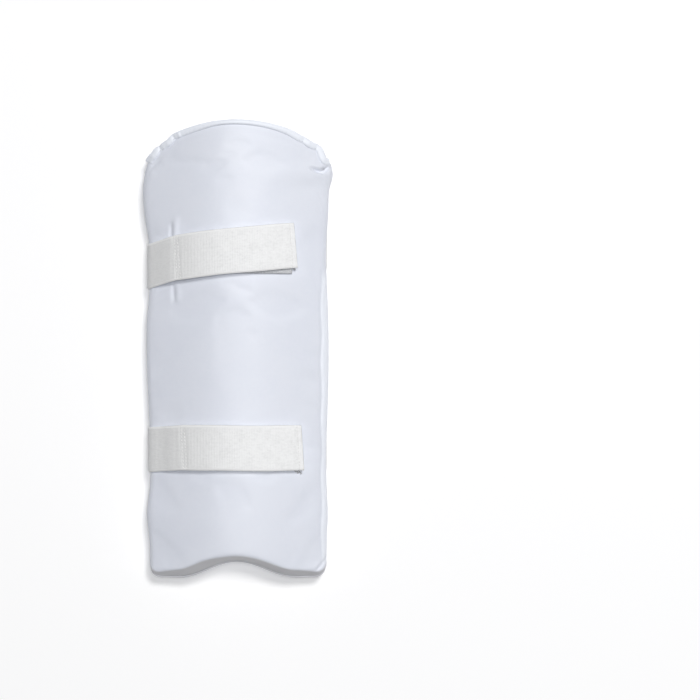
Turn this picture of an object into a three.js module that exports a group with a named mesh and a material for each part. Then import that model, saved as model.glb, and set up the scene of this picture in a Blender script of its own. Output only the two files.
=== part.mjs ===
// Forearm guard: a padded pad bent over the forearm, in a smooth knitted sleeve, with two elastic straps.
// Millimetres, +Z up. It lies on its two lips with the hollow side down and the elbow end towards +Y.
import * as THREE from 'three';

// The pad's overall size
const guardLength = 254;
const guardWidth = 103;
const guardHeight = 32;

// Heights of its section above the surface that it lies on, at the elbow end
const hollowHeight = 12;
const seamHeight = 11.5;
const frontPadding = 9;
const seamWall = 1.2;

// Across the section
const bendWidth = 26;
const shoulderWidth = 3.5;
const shoulderDrop = 2.5;
const lipInset = 13.5;
const lipFlat = 5;
const hollowRound = 1.3;

// The two ends, seen from above
const archRise = 13.7;
const elbowCorner = 12;
const notchDepth = 9.5;
const lobeCentre = 34;
const wristCorner = 7;
const frontSetback = 0.8;
const wristSlope = 4;
const notchSlope = 1.2;

// Roundings and tapers at the two ends
const wristRoundFront = 2;
const wristRoundBack = 4;
const elbowTaper = 6;
const elbowTaperLength = 14;

// The band that closes the elbow end
const hemWall = 1.4;
const hemFrontLeg = 2;
const hemBackLeg = 3.6;
const hemInset = 1.5;
const hemGap = 0.7;

// The straps and the tapes that fasten them
const strapWidth = 25;
const strapThickness = 1.3;
const tapeThickness = 1.1;
const hookTapeWidth = 22;
const loopTapeWidth = 22;
const tapeInset = 1;
const loopStart = 6;
const loopEnd = 1.2;
const grooveMargin = 4.2;
const grooveRamp = 5;
const shoulderRun = 11;

// Clearance between pieces that touch
const sewnGap = 0.3;

// Facet spacing along the guard, and steps along a tape
const coarseStep = 8.5;
const fineStep = 4;
const cornerStep = 1.2;
const tapeSteps = 9;

const halfWidth = guardWidth / 2;
const lipCentre = halfWidth - lipInset;
const strapSeat = strapThickness + sewnGap;

// Sections from the wrist end to the elbow end. at is the place as a share of the length from the middle,
// left and right are shares of half the width, crest of the height, hollow of the hollow's height.
const sections = [
  { at: -0.5, left: 0.955, right: 0.96, crest: 0.9, hollow: 0.62 },
  { at: -0.43, left: 0.955, right: 0.963, crest: 0.925, hollow: 0.64 },
  { at: -0.36, left: 0.985, right: 0.975, crest: 0.935, hollow: 0.68 },
  { at: -0.3, left: 0.955, right: 0.962, crest: 0.94, hollow: 0.7 },
  { at: -0.22, left: 0.948, right: 0.958, crest: 0.945, hollow: 0.72 },
  { at: -0.14, left: 0.965, right: 0.972, crest: 0.955, hollow: 0.76 },
  { at: -0.04, left: 0.985, right: 0.984, crest: 0.965, hollow: 0.8 },
  { at: 0.06, left: 0.99, right: 0.982, crest: 0.975, hollow: 0.85 },
  { at: 0.11, left: 0.968, right: 0.972, crest: 0.98, hollow: 0.88 },
  { at: 0.19, left: 0.95, right: 0.956, crest: 0.99, hollow: 0.93 },
  { at: 0.245, left: 0.972, right: 0.962, crest: 1, hollow: 0.97 },
  { at: 0.3, left: 1.015, right: 0.98, crest: 1, hollow: 1 },
  { at: 0.35, left: 1.03, right: 0.99, crest: 1, hollow: 1 },
  { at: 0.4, left: 1.012, right: 1.01, crest: 0.995, hollow: 1 },
  { at: 0.5, left: 0.985, right: 0.99, crest: 0.985, hollow: 0.98 },
];

// Folds and dents of the front sleeve. across and wide are shares of half the width, along and long
// of the length, and height is a share of the front padding.
const folds = [
  { name: 'dimple over a strap', across: -0.7, wide: 0.06, along: 0.262, long: 0.022, height: -0.16 },
  { name: 'dimple under a strap', across: -0.69, wide: 0.06, along: 0.11, long: 0.03, height: -0.14 },
  { name: 'right elbow crease', across: 0.84, wide: 0.13, along: 0.4, long: 0.014, height: -0.3 },
  { name: 'puff under that crease', across: 0.92, wide: 0.1, along: 0.372, long: 0.016, height: 0.16 },
  { name: 'left elbow tuck', across: -0.83, wide: 0.12, along: 0.425, long: 0.01, height: -0.2 },
  { name: 'right wrist fold', across: 0.9, wide: 0.07, along: -0.47, long: 0.016, height: -0.18 },
  { name: 'left wrist fold', across: -0.9, wide: 0.07, along: -0.485, long: 0.012, height: -0.14 },
];

// The line of each strap's middle, as shares of the length from the guard's middle, with the places
// across the front, in shares of half the width, where its tapes and the strap itself start and end.
const straps = [
  {
    name: 'upper',
    rightLip: 0.227, leftLip: 0.207, leftSeam: 0.182, stitch: 0.2005, crest: 0.2145, tip: 0.2265,
    tape: 0.2085, stitchAcross: -0.63, tipAcross: 0.62,
  },
  {
    name: 'lower',
    rightLip: -0.2185, leftLip: -0.216, leftSeam: -0.219, stitch: -0.211, crest: -0.2112, tip: -0.2128,
    tape: -0.212, stitchAcross: -0.57, tipAcross: 0.7,
  },
];

const smooth = (t) => t * t * (3 - 2 * t);
const clamp01 = (t) => Math.min(1, Math.max(0, t));
const mix = (a, b, t) => a + (b - a) * t;

// One column of the section table at a place along the guard, eased between its rows
function sectionAt(column, y) {
  const at = y / guardLength;
  const last = sections.length - 1;
  if (at <= sections[0].at) return sections[0][column];
  if (at >= sections[last].at) return sections[last][column];
  const i = sections.findIndex((row) => row.at > at) - 1;
  const before = sections[Math.max(0, i - 1)];
  const [a, b] = [sections[i], sections[i + 1]];
  const after = sections[Math.min(last, i + 2)];
  const t = (at - a.at) / (b.at - a.at);
  const slopeA = ((b[column] - before[column]) / (b.at - before.at)) * (b.at - a.at);
  const slopeB = ((after[column] - a[column]) / (after.at - a.at)) * (b.at - a.at);
  const lift = (t * t * t - 2 * t * t + t) * slopeA + (t * t * t - t * t) * slopeB;
  return mix(a[column], b[column], smooth(t)) + lift;
}

// x of a point across the section: u runs from -1 at the left seam to 1 at the right seam
function acrossX(u, y) {
  return u * halfWidth * sectionAt(u < 0 ? 'left' : 'right', y);
}

// The ends as seen from above
function cornerDrop(u, radius) {
  const start = 1 - radius / halfWidth;
  const t = clamp01((Math.abs(u) - start) / (1 - start));
  return radius * (1 - Math.sqrt(1 - t * t));
}

function elbowEdge(u) {
  return guardLength / 2 - hemWall - hemGap - archRise * u * u - cornerDrop(u, elbowCorner);
}

function wristEdge(u) {
  const t = Math.min(1, (Math.abs(u) * halfWidth) / lobeCentre);
  return -guardLength / 2 + notchDepth * (0.5 + 0.5 * Math.cos(Math.PI * t)) + cornerDrop(u, wristCorner);
}

// The wrist end slopes, less so in the notch: the outer face stops short of the lining
function frontWrist(u) {
  const fromNotch = Math.min(1, (Math.abs(u) * halfWidth) / (lobeCentre * 0.7));
  const slope = mix(notchSlope, wristSlope, smooth(fromNotch));
  return wristEdge(u) + frontSetback + slope * frontThickness(u) / frontPadding;
}

function liningWrist(u) {
  return wristEdge(u) + frontSetback;
}

// How far an edge of this radius has dropped at a distance from the end
function edgeRound(distance, radius) {
  const t = clamp01(1 - distance / radius);
  return radius * (1 - Math.sqrt(1 - t * t));
}

// The straps press a groove into the lips, as deep as the strap is thick
function strapLineAtLip(strap, u) {
  return guardLength * (u < 0 ? strap.leftLip : strap.rightLip);
}

function grooveAt(u, y) {
  const flat = strapWidth / 2 + grooveMargin;
  const near = straps.map((strap) => {
    const away = Math.abs(y - strapLineAtLip(strap, u)) - flat;
    return 1 - smooth(clamp01(away / grooveRamp));
  });
  return strapSeat * Math.max(...near);
}

// Heights of the pad's three surfaces
function foldHeight(u, y) {
  return folds.reduce((sum, fold) => {
    const across = (u - fold.across) / fold.wide;
    const along = (y / guardLength - fold.along) / fold.long;
    return sum + frontPadding * fold.height * Math.exp(-across * across - along * along);
  }, 0);
}

function frontTop(u, y) {
  const bend = bendWidth / halfWidth;
  const wing = (Math.hypot(u, bend) - bend) / (Math.hypot(1, bend) - bend);
  const crest = guardHeight * sectionAt('crest', y);
  const shoulder = seamHeight + shoulderDrop;
  const start = 1 - shoulderWidth / halfWidth;
  const t = clamp01((Math.abs(u) - start) / (1 - start));
  const rounding = shoulderDrop * (1 - Math.sqrt(1 - t * t));
  return mix(crest, shoulder, wing) - rounding;
}

function frontThickness(u) {
  return seamWall + (frontPadding - seamWall) * (1 - u ** 4);
}

function frontFace(u, y) {
  const radius = Math.min(wristRoundFront, frontThickness(u) / 2);
  return frontTop(u, y) + foldHeight(u, y) - edgeRound(y - frontWrist(u), radius);
}

function frontLining(u, y) {
  return frontTop(u, y) - frontThickness(u);
}

function backLift(u, y) {
  const fromElbow = clamp01(1 - (elbowEdge(u) - y) / elbowTaperLength);
  return elbowTaper * fromElbow * fromElbow + edgeRound(y - wristEdge(u), wristRoundBack);
}

const flatIn = (lipCentre - lipFlat / 2) / halfWidth;
const flatOut = (lipCentre + lipFlat / 2) / halfWidth;

// The underside: the hollow between the lips, the lips' flats and the flanks that curve up to the seams
function backFace(u, y) {
  const side = Math.abs(u);
  const lip = grooveAt(u, y) + backLift(u, y);
  if (side < flatIn) {
    const roof = hollowHeight * sectionAt('hollow', y) + backLift(u, y);
    return lip + (roof - lip) * (1 - (side / flatIn) ** 2) ** hollowRound;
  }
  if (side <= flatOut) return lip;
  const seam = seamHeight - seamWall - sewnGap;
  const t = (side - flatOut) / (1 - flatOut);
  return lip + (seam - lip) * (1 - Math.sqrt(1 - t * t));
}

// Places across the section: even ones over the hollow, then the flank's own by angle
function acrossPlaces(hollowSteps, flankSteps) {
  const half = [0];
  for (let i = 1; i <= hollowSteps; i++) half.push((flatIn * i) / hollowSteps);
  half.push(flatOut);
  for (let i = 1; i <= flankSteps; i++) {
    half.push(flatOut + (1 - flatOut) * Math.sin((Math.PI / 2) * (i / flankSteps)));
  }
  return [...half.slice(1).reverse().map((u) => -u), ...half];
}

const skinPlaces = acrossPlaces(6, 5);
const liningPlaces = acrossPlaces(4, 2);

// Places along the guard as shares of it, closer together by the straps and at both ends
function alongPlaces(roundRadius) {
  const shares = [0, 0.15, 0.45, 1].map((t) => (t * roundRadius) / guardLength);
  const reach = strapWidth / 2 + grooveMargin + grooveRamp;
  const nearStrap = (y) => straps.some((strap) => {
    const lines = [strap.leftLip, strap.rightLip, strap.leftSeam].map((at) => at * guardLength);
    return y > Math.min(...lines) - reach && y < Math.max(...lines) + reach;
  });
  const elbowEnd = guardLength - elbowTaperLength;
  let place = wristRoundBack + fineStep;
  while (place < elbowEnd - fineStep / 2) {
    shares.push(place / guardLength);
    place += nearStrap(place - guardLength / 2) ? fineStep : coarseStep;
  }
  for (const t of [0, 0.35, 0.65, 0.85, 1]) shares.push(mix(elbowEnd, guardLength, t) / guardLength);
  return shares;
}

// Closed solid through rings of points. A ring is two chains that run the same way, and all rings have
// as many points in each. The ends are filled between the chains.
function loft(rings) {
  const [upperSize, lowerSize] = rings[0].map((chain) => chain.length);
  const size = upperSize + lowerSize;
  const points = rings.flatMap(([upper, lower]) => [...upper, ...lower.toReversed()]);
  const faces = [];
  for (let i = 0; i + 1 < rings.length; i++) {
    for (let j = 0; j < size; j++) {
      const k = (j + 1) % size;
      const [a, b, c, d] = [i * size + j, i * size + k, (i + 1) * size + k, (i + 1) * size + j];
      faces.push([a, b, c], [a, c, d]);
    }
  }
  const end = filledEnd(upperSize, lowerSize);
  faces.push(...end.map(([a, b, c]) => [c, b, a]));
  faces.push(...end.map((face) => face.map((i) => i + size * (rings.length - 1))));
  return solid(points, faces);
}

// Faces between a ring's two chains, stepping along whichever is behind
function filledEnd(upperSize, lowerSize) {
  const faces = [];
  const lowerIndex = (j) => upperSize + lowerSize - 1 - j;
  let [i, j] = [0, 0];
  while (i < upperSize - 1 || j < lowerSize - 1) {
    const upperNext = (i + 1) / (upperSize - 1);
    const lowerNext = (j + 1) / (lowerSize - 1);
    if (i < upperSize - 1 && (upperNext <= lowerNext || j === lowerSize - 1)) {
      faces.push([i, i + 1, lowerIndex(j)]);
      i += 1;
    } else {
      faces.push([i, lowerIndex(j + 1), lowerIndex(j)]);
      j += 1;
    }
  }
  return faces;
}

// Indexed geometry whose faces point out
function solid(points, faces) {
  const corner = (i) => new THREE.Vector3(...points[i]);
  const volume = faces.reduce((sum, [a, b, c]) => sum + corner(a).dot(corner(b).cross(corner(c))), 0);
  const outward = volume > 0 ? faces : faces.map(([a, b, c]) => [c, b, a]);
  const geometry = new THREE.BufferGeometry();
  geometry.setAttribute('position', new THREE.Float32BufferAttribute(points.flat(), 3));
  geometry.setIndex(outward.flat());
  geometry.computeVertexNormals();
  return geometry;
}

// A panel's ring at one place along the guard, from its upper and its lower surface
function panelRing(share, surfaces) {
  return surfaces.map(({ places, face, wrist }) => places.map((u) => {
    const y = mix(wrist(u), elbowEdge(u), share);
    return [acrossX(u, y), y, face(u, y)];
  }));
}

function frontPanel() {
  const upper = { places: skinPlaces, face: frontFace, wrist: frontWrist };
  const lower = { places: liningPlaces, face: frontLining, wrist: liningWrist };
  return loft(alongPlaces(wristRoundFront).map((share) => panelRing(share, [upper, lower])));
}

function backPanel() {
  const lining = (u, y) => frontLining(u, y) - sewnGap;
  const upper = { places: liningPlaces, face: lining, wrist: wristEdge };
  const lower = { places: skinPlaces.slice(1, -1), face: backFace, wrist: wristEdge };
  return loft(alongPlaces(wristRoundBack).map((share) => panelRing(share, [upper, lower])));
}

// The elbow edge in plan, with its outward direction
function elbowPoint(u) {
  const at = (place) => new THREE.Vector2(acrossX(place, elbowEdge(place)), elbowEdge(place));
  const step = 0.004;
  const run = at(Math.min(1, u + step)).sub(at(Math.max(-1, u - step))).normalize();
  return { spot: at(u), out: new THREE.Vector2(-run.y, run.x) };
}

// The hem: a folded band over the elbow edge, with a short leg in front and a longer one behind
function topHem() {
  const reach = 1 - hemInset / halfWidth;
  const right = skinPlaces.filter((u) => u > 0 && u <= flatOut);
  const step = cornerStep / halfWidth;
  for (let u = flatOut + step; u < reach - step / 2; u += step) right.push(u);
  right.push(reach);
  return loft([...right.toReversed().map((u) => -u), 0, ...right].map((u) => {
    const { spot, out } = elbowPoint(u);
    const point = (past, face, off) => {
      const over = spot.clone().addScaledVector(out, Math.min(past, 0));
      const { x, y } = spot.clone().addScaledVector(out, past);
      const placeU = over.x / Math.abs(acrossX(Math.sign(over.x) || 1, over.y));
      return [x, y, face(placeU, over.y) + off];
    };
    const lay = hemGap + hemWall;
    const [nearCrown, crown] = [lay - hemWall * 0.3, lay];
    const inner = [
      point(-hemFrontLeg, frontFace, hemGap),
      point(-hemFrontLeg / 2, frontFace, hemGap),
      point(hemGap, frontFace, hemGap),
      point(hemGap, backFace, -hemGap),
      point(-hemBackLeg / 2, backFace, -hemGap),
      point(-hemBackLeg, backFace, -hemGap),
    ];
    const outer = [
      point(-hemFrontLeg, frontFace, lay),
      point(-hemFrontLeg / 2, frontFace, lay),
      point(0, frontFace, lay),
      point(nearCrown, frontFace, hemGap),
      point(crown, frontFace, -hemWall),
      point(crown, backFace, hemWall),
      point(nearCrown, backFace, -hemGap),
      point(0, backFace, -lay),
      point(-hemBackLeg / 2, backFace, -lay),
      point(-hemBackLeg, backFace, -lay),
    ];
    return [outer, inner];
  }));
}

// Places across a strap's width, from its middle
const strapWidths = [-1, -0.5, 0, 0.5, 1].map((t) => (t * strapWidth) / 2);

// The widest that the guard is under a strap's width
function halfUnder(side, middle) {
  return Math.max(...strapWidths.map((w) => Math.abs(acrossX(side, middle + w))));
}

// A strap's skin on a flank: t runs from 0 at the seam to 1 at the lip
function flankSkin(side, middle, t) {
  const half = halfUnder(side, middle);
  const lipX = flatOut * half;
  const seam = seamHeight - seamWall - sewnGap;
  const angle = (Math.PI / 2) * t;
  const z = strapSeat + (seam - strapSeat) * (1 - Math.sin(angle));
  return { x: side * (lipX + (half - lipX) * Math.cos(angle)), z, y: middle };
}

// The skin that a strap lies on, from the right flank round the lips to its tip on the front
function strapSkin(strap) {
  const leftLine = (t) => guardLength * mix(strap.leftSeam, strap.leftLip, t);
  const rightFlank = [0.06, 0.2, 0.35, 0.5, 0.65, 0.8, 1];
  const leftFlank = [1, 0.85, 0.7, 0.55, 0.4, 0.25, 0.1];
  const overShoulder = [-1, -0.985, -0.96, -0.93, -0.88, -0.82, -0.75, -0.69];
  const overFront = frontPlaces(strap, strap.stitchAcross, strap.tipAcross);
  return [
    ...rightFlank.map((t) => flankSkin(1, guardLength * strap.rightLip, t)),
    ...leftFlank.map((t) => flankSkin(-1, leftLine(t), t)),
    ...frontSkin(strap, [...overShoulder, ...overFront]),
  ];
}

// Places across the front between two shares of half the width, the same ones for each layer
function frontPlaces(strap, from, to) {
  const { stitchAcross, tipAcross } = strap;
  const step = (tipAcross - stitchAcross) / tapeSteps;
  const shared = Array.from({ length: tapeSteps + 1 }, (_, i) => stitchAcross + i * step);
  const near = step / 5;
  return [from, ...shared.filter((u) => u > from + near && u < to - near), to];
}

// The front skin under a strap's whole width at each of these places
function frontSkin(strap, places) {
  return places.map((u) => {
    const middle = strapLineOnFront(strap, u);
    const half = halfUnder(Math.sign(u) || 1, middle);
    return { x: u * half, z: Math.max(...strapWidths.map((w) => frontFace(u, middle + w))), y: middle };
  });
}

function strapLineOnFront(strap, u) {
  const rows = [
    { across: -1, line: strap.leftSeam },
    { across: strap.stitchAcross, line: strap.stitch },
    { across: 0, line: strap.crest },
    { across: strap.tipAcross, line: strap.tip },
  ];
  const next = Math.max(1, rows.findIndex((row) => row.across >= u));
  const [from, to] = [rows[next - 1], rows[next]];
  return guardLength * mix(from.line, to.line, (u - from.across) / (to.across - from.across));
}

// A flat tape laid over a skin: each skin point is moved out along the skin's own normal
function tapeOver(skin, layers) {
  return loft(skin.map((point, i) => {
    const before = skin[Math.max(0, i - 1)];
    const after = skin[Math.min(skin.length - 1, i + 1)];
    const run = new THREE.Vector2(after.x - before.x, after.z - before.z).normalize();
    const { inner, outer, half } = layers(point);
    const at = (off) => [point.x - run.y * off, point.z + run.x * off];
    const [[xIn, zIn], [xOut, zOut]] = [at(inner), at(outer)];
    return [
      [[xOut, point.y - half, zOut], [xOut, point.y + half, zOut]],
      [[xIn, point.y - half, zIn], [xIn, point.y + half, zIn]],
    ];
  }));
}

const loopBase = sewnGap;
const hookBase = loopBase + tapeThickness + sewnGap;
const frontStrapBase = hookBase + tapeThickness + sewnGap;

// The strap lies on the sleeve round the back and climbs onto its tapes over the front
function strapBody(strap) {
  const stitchX = strap.stitchAcross * halfWidth;
  return tapeOver(strapSkin(strap), (point) => {
    const onFront = point.z > seamHeight - seamWall;
    const climb = onFront ? smooth(clamp01((point.x - stitchX) / shoulderRun + 1)) : 0;
    const inner = mix(sewnGap, frontStrapBase, climb);
    return { inner, outer: inner + strapThickness, half: strapWidth / 2 };
  });
}

function hookPatch(strap) {
  const inset = tapeInset / halfWidth;
  const skin = frontSkin(strap, frontPlaces(strap, strap.stitchAcross + inset, strap.tipAcross - inset));
  const outer = hookBase + tapeThickness;
  return tapeOver(skin, () => ({ inner: hookBase, outer, half: hookTapeWidth / 2 }));
}

function loopPatch(strap) {
  const from = strap.stitchAcross + loopStart / halfWidth;
  const to = strap.tipAcross - loopEnd / halfWidth;
  const skin = frontSkin(strap, frontPlaces(strap, from, to));
  const level = skin.map((point) => ({ ...point, y: guardLength * strap.tape }));
  const outer = loopBase + tapeThickness;
  return tapeOver(level, () => ({ inner: loopBase, outer, half: loopTapeWidth / 2 }));
}

const sleeveKnit = new THREE.MeshStandardMaterial({ color: 0xe6eaf4, roughness: 0.72, metalness: 0 });
const hemKnit = new THREE.MeshStandardMaterial({ color: 0xe8ebf4, roughness: 0.75, metalness: 0 });
const elasticWeave = new THREE.MeshStandardMaterial({ color: 0xf0f2ef, roughness: 0.9, metalness: 0 });
const hookTape = new THREE.MeshStandardMaterial({ color: 0xe9eae8, roughness: 0.6, metalness: 0 });
const loopTape = new THREE.MeshStandardMaterial({ color: 0xe4e6e6, roughness: 0.95, metalness: 0 });

const guard = new THREE.Group();

function addPiece(name, geometry, material) {
  const mesh = new THREE.Mesh(geometry, material);
  mesh.name = name;
  guard.add(mesh);
}

addPiece('front_panel', frontPanel(), sleeveKnit);
addPiece('back_panel', backPanel(), sleeveKnit);
addPiece('top_hem', topHem(), hemKnit);
for (const strap of straps) {
  addPiece(`${strap.name}_strap`, strapBody(strap), elasticWeave);
  addPiece(`${strap.name}_hook_patch`, hookPatch(strap), hookTape);
  addPiece(`${strap.name}_loop_patch`, loopPatch(strap), loopTape);
}

export default guard;
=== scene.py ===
# Forearm guard for cricket: a pad in a smooth knitted sleeve, closed by a hem, with two elastic straps.
# The meshes are worked out in millimetres in the CAD frame and written in metres.
import math

import bpy
import numpy as np
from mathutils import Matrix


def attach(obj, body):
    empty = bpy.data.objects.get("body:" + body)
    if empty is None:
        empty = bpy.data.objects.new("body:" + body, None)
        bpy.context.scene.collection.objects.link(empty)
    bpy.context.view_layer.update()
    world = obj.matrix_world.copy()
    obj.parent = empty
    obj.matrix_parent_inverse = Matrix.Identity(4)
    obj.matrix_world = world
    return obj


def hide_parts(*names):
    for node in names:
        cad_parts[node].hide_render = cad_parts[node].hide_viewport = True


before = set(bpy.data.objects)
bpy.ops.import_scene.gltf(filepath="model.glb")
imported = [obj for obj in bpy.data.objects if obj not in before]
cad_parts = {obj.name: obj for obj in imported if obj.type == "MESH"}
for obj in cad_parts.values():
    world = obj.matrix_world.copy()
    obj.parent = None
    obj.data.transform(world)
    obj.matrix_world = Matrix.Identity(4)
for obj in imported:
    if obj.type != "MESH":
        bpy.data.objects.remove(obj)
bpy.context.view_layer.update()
print("frame loaded:", len(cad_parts), "nodes")

mm = 0.001
seed = 11
scene = bpy.context.scene
scene.view_settings.view_transform = "Standard"


# the guard's form in millimetres: the solids' sizes, with softer edges at both ends
guard = {
    "length": 254, "halfWidth": 51.5, "height": 32, "hollow": 12, "hollowRound": 1.3,
    "seamHeight": 11.5, "padding": 9, "seamWall": 1.2, "bend": 26,
    "shoulderWidth": 3.5, "shoulderDrop": 2.5, "lipCentre": 38, "lipFlat": 5,
    "archRise": 13.7, "elbowCorner": 12, "hemRoom": 2.1,
    "notchDepth": 9.5, "lobeCentre": 34, "wristCorner": 7, "frontSetback": 0.8,
    "wristSlope": 4, "notchSlope": 2.4, "wristDip": 1.3,
    "wristRoundFront": 2.6, "wristRoundBack": 4, "elbowTaper": 6, "elbowTaperLength": 14,
    "strapGroove": 1.6, "strapWidth": 25, "grooveMargin": 4.2, "grooveRamp": 5,
}

# place along the length, half widths to the left and right, crest and hollow, all as shares
sectionRows = np.array([
    (-0.5, 0.955, 0.96, 0.9, 0.62), (-0.43, 0.955, 0.963, 0.925, 0.64), (-0.36, 0.985, 0.975, 0.935, 0.68),
    (-0.3, 0.955, 0.962, 0.94, 0.7), (-0.22, 0.948, 0.958, 0.945, 0.72), (-0.14, 0.965, 0.972, 0.955, 0.76),
    (-0.04, 0.985, 0.984, 0.965, 0.8), (0.06, 0.99, 0.982, 0.975, 0.85), (0.11, 0.968, 0.972, 0.98, 0.88),
    (0.19, 0.95, 0.956, 0.99, 0.93), (0.245, 0.972, 0.962, 1.0, 0.97), (0.3, 1.015, 0.98, 1.0, 1.0),
    (0.35, 1.03, 0.99, 1.0, 1.0), (0.385, 1.012, 1.03, 1.0, 1.0), (0.41, 0.988, 1.01, 0.994, 1.0),
    (0.5, 0.965, 0.99, 0.985, 0.98),
])
sectionColumns = {"left": 1, "right": 2, "crest": 3, "hollow": 4}

# the line of each strap's middle along its way, as shares of the length, and where its tapes start and end
straps = {
    "upper": {
        "rightLip": 0.227, "leftLip": 0.207, "leftSeam": 0.182, "stitch": 0.2005, "crest": 0.2145,
        "tip": 0.2265, "tape": 0.2085, "stitchAcross": -0.63, "tipAcross": 0.62, "lean": 0.09,
    },
    "lower": {
        "rightLip": -0.2185, "leftLip": -0.216, "leftSeam": -0.219, "stitch": -0.211, "crest": -0.2112,
        "tip": -0.2128, "tape": -0.212, "stitchAcross": -0.57, "tipAcross": 0.7, "lean": 0.07,
    },
}


def smooth(t):
    t = np.clip(t, 0, 1)
    return t * t * (3 - 2 * t)


def sectionAt(column, y):
    at, values = sectionRows[:, 0], sectionRows[:, sectionColumns[column]]
    slopes = np.concatenate([
        [(values[1] - values[0]) / (at[1] - at[0])],
        (values[2:] - values[:-2]) / (at[2:] - at[:-2]),
        [(values[-1] - values[-2]) / (at[-1] - at[-2])],
    ])
    place = np.clip(np.asarray(y, float) / guard["length"], at[0], at[-1])
    i = np.clip(np.searchsorted(at, place, side="right") - 1, 0, len(at) - 2)
    gap = at[i + 1] - at[i]
    t = (place - at[i]) / gap
    eased = values[i] + (values[i + 1] - values[i]) * smooth(t)
    return eased + gap * ((t**3 - 2 * t**2 + t) * slopes[i] + (t**3 - t**2) * slopes[i + 1])


def acrossX(u, y):
    share = np.where(np.asarray(u) < 0, sectionAt("left", y), sectionAt("right", y))
    return u * guard["halfWidth"] * share


def shareAcross(x, y):  # the way back from a place across, in millimetres, to its share of the half width
    return x / np.abs(acrossX(np.sign(x + 1e-9), y))


def cornerDrop(u, radius):
    start = 1 - radius / guard["halfWidth"]
    t = np.clip((np.abs(u) - start) / (1 - start), 0, 1)
    return radius * (1 - np.sqrt(1 - t * t))


# where the elbow end is pulled in, or let out below zero: place across, width there, and depth
elbowPulls = [
    (-0.765, 0.045, 1.9), (-0.84, 0.045, 2.4), (-0.92, 0.035, 1.5), (-0.99, 0.03, -0.6),
    (0.69, 0.085, 1.1), (0.8, 0.06, 1.9), (0.89, 0.05, 0.6), (0.925, 0.022, 3.4), (0.955, 0.025, 2.0),
    (0.995, 0.02, -3.0),
]


def elbowEdge(u):
    arch = guard["archRise"] * u * u + cornerDrop(u, guard["elbowCorner"])
    pulls = sum(depth * np.exp(-((u - place) / wide) ** 2) for place, wide, depth in elbowPulls)
    return guard["length"] / 2 - guard["hemRoom"] - arch - pulls


def wristEdge(u):
    t = np.minimum(1, np.abs(u) * guard["halfWidth"] / guard["lobeCentre"])
    notch = guard["notchDepth"] * (0.5 + 0.5 * np.cos(math.pi * t))
    return notch - guard["length"] / 2 + cornerDrop(u, guard["wristCorner"])


def edgeRound(distance, radius):
    t = np.clip(1 - distance / radius, 0, 1)
    return radius * (1 - np.sqrt(1 - t * t))


def frontTop(u, y):
    bend = guard["bend"] / guard["halfWidth"]
    wing = (np.hypot(u, bend) - bend) / (math.hypot(1, bend) - bend)
    start = 1 - guard["shoulderWidth"] / guard["halfWidth"]
    t = np.clip((np.abs(u) - start) / (1 - start), 0, 1)
    rounding = guard["shoulderDrop"] * (1 - np.sqrt(1 - t * t))
    crest = guard["height"] * sectionAt("crest", y)
    return crest + (guard["seamHeight"] + guard["shoulderDrop"] - crest) * wing - rounding


def frontThickness(u):
    return guard["seamWall"] + (guard["padding"] - guard["seamWall"]) * (1 - np.asarray(u) ** 4)


def frontWrist(u):  # the wrist end slopes, less in the notch: the outer face stops short of the lining
    fromNotch = smooth(np.abs(u) * guard["halfWidth"] / (guard["lobeCentre"] * 0.7))
    slope = guard["notchSlope"] + (guard["wristSlope"] - guard["notchSlope"]) * fromNotch
    slope = slope + guard["wristDip"] * np.exp(-((np.asarray(u) + 0.42) / 0.2) ** 2)
    return liningWrist(u) + slope * frontThickness(u) / guard["padding"]


def liningWrist(u):
    return wristEdge(u) + guard["frontSetback"]


def frontFace(u, y):
    radius = np.minimum(guard["wristRoundFront"], frontThickness(u) / 2)
    return frontTop(u, y) - edgeRound(y - frontWrist(u), radius)


def frontLining(u, y):
    return frontTop(u, y) - frontThickness(u)


def grooveAt(u, y):
    flat = guard["strapWidth"] / 2 + guard["grooveMargin"]
    near = 0
    for strap in straps.values():
        line = guard["length"] * np.where(np.asarray(u) < 0, strap["leftLip"], strap["rightLip"])
        near = np.maximum(near, 1 - smooth((np.abs(y - line) - flat) / guard["grooveRamp"]))
    return guard["strapGroove"] * near


def backFace(u, y):
    side = np.abs(u)
    flatIn = (guard["lipCentre"] - guard["lipFlat"] / 2) / guard["halfWidth"]
    flatOut = (guard["lipCentre"] + guard["lipFlat"] / 2) / guard["halfWidth"]
    fromElbow = np.clip(1 - (elbowEdge(u) - y) / guard["elbowTaperLength"], 0, 1)
    lift = guard["elbowTaper"] * fromElbow**2 + edgeRound(y - wristEdge(u), guard["wristRoundBack"])
    lip = grooveAt(u, y) + lift
    roof = guard["hollow"] * sectionAt("hollow", y) + lift
    hollow = lip + (roof - lip) * np.clip(1 - (side / flatIn) ** 2, 0, 1) ** guard["hollowRound"]
    t = np.clip((side - flatOut) / (1 - flatOut), 0, 1)
    seam = guard["seamHeight"] - guard["seamWall"] - 0.3
    flank = lip + (seam - lip) * (1 - np.sqrt(1 - t * t))
    return np.where(side < flatIn, hollow, np.where(side <= flatOut, lip, flank))


# meshes
def writeCloth(layer, mesh, uv):  # each corner takes its vertex's place on the cloth
    corners = np.array([loop.vertex_index for loop in mesh.loops])
    layer.data.foreach_set("uv", uv[corners].ravel())


def makeObject(name, points, faces, uv):
    mesh = bpy.data.meshes.new(name)
    mesh.from_pydata((points * mm).tolist(), [], faces)
    writeCloth(mesh.uv_layers.new(name="cloth"), mesh, uv)
    mesh.validate()
    mesh.shade_smooth()
    obj = bpy.data.objects.new(name, mesh)
    scene.collection.objects.link(obj)
    return obj


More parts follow.
